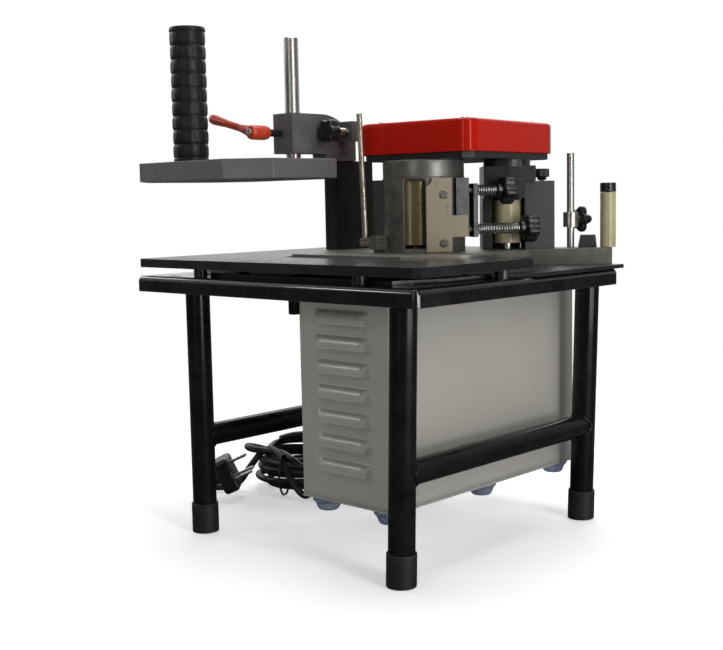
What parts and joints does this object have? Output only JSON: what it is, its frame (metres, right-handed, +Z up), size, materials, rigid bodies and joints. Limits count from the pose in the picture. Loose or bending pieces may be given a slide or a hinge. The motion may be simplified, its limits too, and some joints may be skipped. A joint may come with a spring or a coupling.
{
  "type": "edge banding machine",
  "caption": "Table-top edge banding machine on a tube-leg stand, with glue pot, gear-driven rollers, swinging tape tray, hand grip and control box.",
  "frame": {"origin": "middle of the whole machine's footprint, on the floor", "axes": "+X along the 400 mm front of the stand, from the tape tray to the exit roller; +Y from the front to the rear; +Z up"},
  "size_m": [0.441, 0.353, 0.532],
  "materials": {
    "stand_paint": "satin black paint",
    "cap_rubber": "matt rubber",
    "table_paint": "semi-gloss dark grey paint",
    "zinc_steel": "zinc-plated steel",
    "bright_steel": "ground and polished steel",
    "sheet_black": "blackened sheet steel",
    "slab_steel": "milled steel",
    "machine_black": "black oxide and paint",
    "arm_grey": "grey textured paint",
    "tray_grey": "grey textured paint",
    "grip_rubber": "ribbed rubber",
    "knob_plastic": "black moulded plastic",
    "lever_red": "orange-red moulded plastic",
    "cover_red": "glossy red paint",
    "gear_brass": "machined brass",
    "bush_bronze": "sintered bronze",
    "pot_cast": "grey cast metal",
    "gate_bronze": "champagne anodised",
    "roller_olive": "glue-stained metal",
    "roller_cream": "cream rubber",
    "block_grey": "grey paint",
    "heater_steel": "drawn steel",
    "spring_steel": "bright spring steel",
    "trip_brass": "aged steel",
    "box_paint": "light warm grey powder coat",
    "feet_rubber": "translucent blue rubber",
    "core_iron": "varnished laminations",
    "rocker_red": "red moulded plastic",
    "cord_rubber": "black cable sheath"
  },
  "bodies": {
    "base": {"stand_frame": "stand_paint", "stand_legs": "stand_paint", "foot_caps": "cap_rubber", "table_plate": "table_paint", "table_spacers": "machine_black", "table_screws": "zinc_steel", "base_sheet": "sheet_black", "base_slab": "slab_steel", "tray_post": "machine_black", "tray_arm": "arm_grey", "gear_cover": "cover_red", "top_plate": "machine_black", "gear_motor": "machine_black", "shaft_bushes": "bush_bronze", "glue_pot": "pot_cast", "pot_ring": "pot_cast", "gate_plate": "gate_bronze", "pan_screws": "zinc_steel", "pot_heaters": "heater_steel", "feed_housing": "machine_black", "support_block": "block_grey", "pressure_bracket": "machine_black", "pressure_spindles": "bright_steel", "pressure_springs": "spring_steel", "guide_rod": "bright_steel", "stop_block": "block_grey", "end_roller_bolt": "machine_black", "box_shell": "box_paint", "box_pan": "box_paint", "box_feet": "feet_rubber", "transformer": "core_iron", "power_switch": "knob_plastic", "temperature_unit": "knob_plastic", "power_cord": "cord_rubber", "power_plug": "knob_plastic"},
    "lift_rod": {"tray_rod": "bright_steel"},
    "tray": {"tape_tray": "tray_grey", "handle_core": "zinc_steel", "handle_grip": "grip_rubber"},
    "clamp": {"clamp_lever": "lever_red", "clamp_stud": "machine_black"},
    "tension": {"tension_knob": "knob_plastic"},
    "idler": {"idler_gear": "gear_brass"},
    "motor_shaft": {"motor_gear": "gear_brass"},
    "glue_shaft": {"glue_roller": "roller_olive", "glue_gear": "gear_brass"},
    "feed_spindle": {"feed_shaft": "bright_steel", "feed_roller": "roller_cream", "feed_gear": "gear_brass"},
    "shoe": {"pressure_shoe": "machine_black"},
    "upper_pressure_knob": {"upper_knob": "knob_plastic"},
    "lower_pressure_knob": {"lower_knob": "knob_plastic"},
    "thumb": {"thumb_screw": "knob_plastic"},
    "pot_knob": {"glue_knob": "knob_plastic"},
    "collar": {"guide_collar": "zinc_steel"},
    "collar_knob": {"guide_knob": "knob_plastic"},
    "exit_roller": {"end_roller": "roller_cream"},
    "trip": {"trip_rod": "trip_brass"},
    "rocker": {"switch_rocker": "rocker_red"},
    "speed": {"speed_knob": "knob_plastic"}
  },
  "joints": [
    {"name": "tray_height", "type": "slide", "parent": "base", "child": "lift_rod", "axis": [0, 0, 1], "range_m": [-0.05, 0]},
    {"name": "tray_swing", "type": "hinge", "parent": "lift_rod", "child": "tray", "pos_m": [-0.0745, -0.0395, 0.38], "axis": [0, 0, 1], "range_deg": [-8, 30]},
    {"name": "clamp_turn", "type": "hinge", "parent": "base", "child": "clamp", "pos_m": [-0.0785, -0.0735, 0.421], "axis": [0, 1, 0], "range_deg": [-15, 100]},
    {"name": "tension_turn", "type": "hinge", "parent": "base", "child": "tension", "pos_m": [-0.0455, -0.0035, 0.423], "axis": [0, 1, 0], "range_deg": [0, 360]},
    {"name": "idler_spin", "type": "hinge", "parent": "base", "child": "idler", "pos_m": [0.0725, 0.0565, 0.4], "axis": [0, 0, 1], "continuous": true},
    {"name": "motor_spin", "type": "hinge", "parent": "base", "child": "motor_shaft", "pos_m": [0.01829, 0.07411, 0.4], "axis": [0, 0, 1], "continuous": true},
    {"name": "glue_spin", "type": "hinge", "parent": "base", "child": "glue_shaft", "pos_m": [0.06654, -0.00019, 0.33], "axis": [0, 0, 1], "continuous": true},
    {"name": "feed_spin", "type": "hinge", "parent": "base", "child": "feed_spindle", "pos_m": [0.11064, 0.09886, 0.33], "axis": [0, 0, 1], "continuous": true},
    {"name": "shoe_press", "type": "slide", "parent": "base", "child": "shoe", "axis": [0.5, 0.866, 0], "range_m": [-0.003, 0], "stiffness_N_per_m": 800},
    {"name": "upper_knob_turn", "type": "hinge", "parent": "base", "child": "upper_pressure_knob", "pos_m": [0.09468, -0.0015, 0.355], "axis": [0.5, 0.866, 0], "range_deg": [0, 360]},
    {"name": "lower_knob_turn", "type": "hinge", "parent": "base", "child": "lower_pressure_knob", "pos_m": [0.09468, -0.0015, 0.315], "axis": [0.5, 0.866, 0], "range_deg": [0, 360]},
    {"name": "thumb_turn", "type": "hinge", "parent": "base", "child": "thumb", "pos_m": [0.13614, 0.12719, 0.37], "axis": [0, 0, 1], "range_deg": [0, 360]},
    {"name": "glue_knob_turn", "type": "hinge", "parent": "base", "child": "pot_knob", "pos_m": [0.0635, 0.0165, 0.336], "axis": [0.7254, 0.6884, 0], "range_deg": [0, 270]},
    {"name": "collar_height", "type": "slide", "parent": "base", "child": "collar", "axis": [0, 0, 1], "range_m": [0, 0.05]},
    {"name": "guide_knob_turn", "type": "hinge", "parent": "collar", "child": "collar_knob", "pos_m": [0.1585, 0.1565, 0.322], "axis": [0, 1, 0], "range_deg": [0, 360]},
    {"name": "end_roller_spin", "type": "hinge", "parent": "base", "child": "exit_roller", "pos_m": [0.1975, 0.1605, 0.32], "axis": [0, 0, 1], "continuous": true},
    {"name": "trip_turn", "type": "hinge", "parent": "base", "child": "trip", "pos_m": [0.0255, -0.0335, 0.303], "axis": [1, 0, 0], "range_deg": [0, 8]},
    {"name": "switch_rock", "type": "hinge", "parent": "base", "child": "rocker", "pos_m": [0.0375, 0.0005, 0.201], "axis": [0, 0, 1], "range_deg": [0, 16]},
    {"name": "speed_turn", "type": "hinge", "parent": "base", "child": "speed", "pos_m": [0.0355, 0.0615, 0.205], "axis": [-1, 0, 0], "range_deg": [0, 270]}
  ],
  "couplings": [
    {"joint": "motor_spin", "follows": "idler_spin", "ratio": -3.75},
    {"joint": "glue_spin", "follows": "idler_spin", "ratio": -3.75},
    {"joint": "feed_spin", "follows": "idler_spin", "ratio": -3.75}
  ]
}
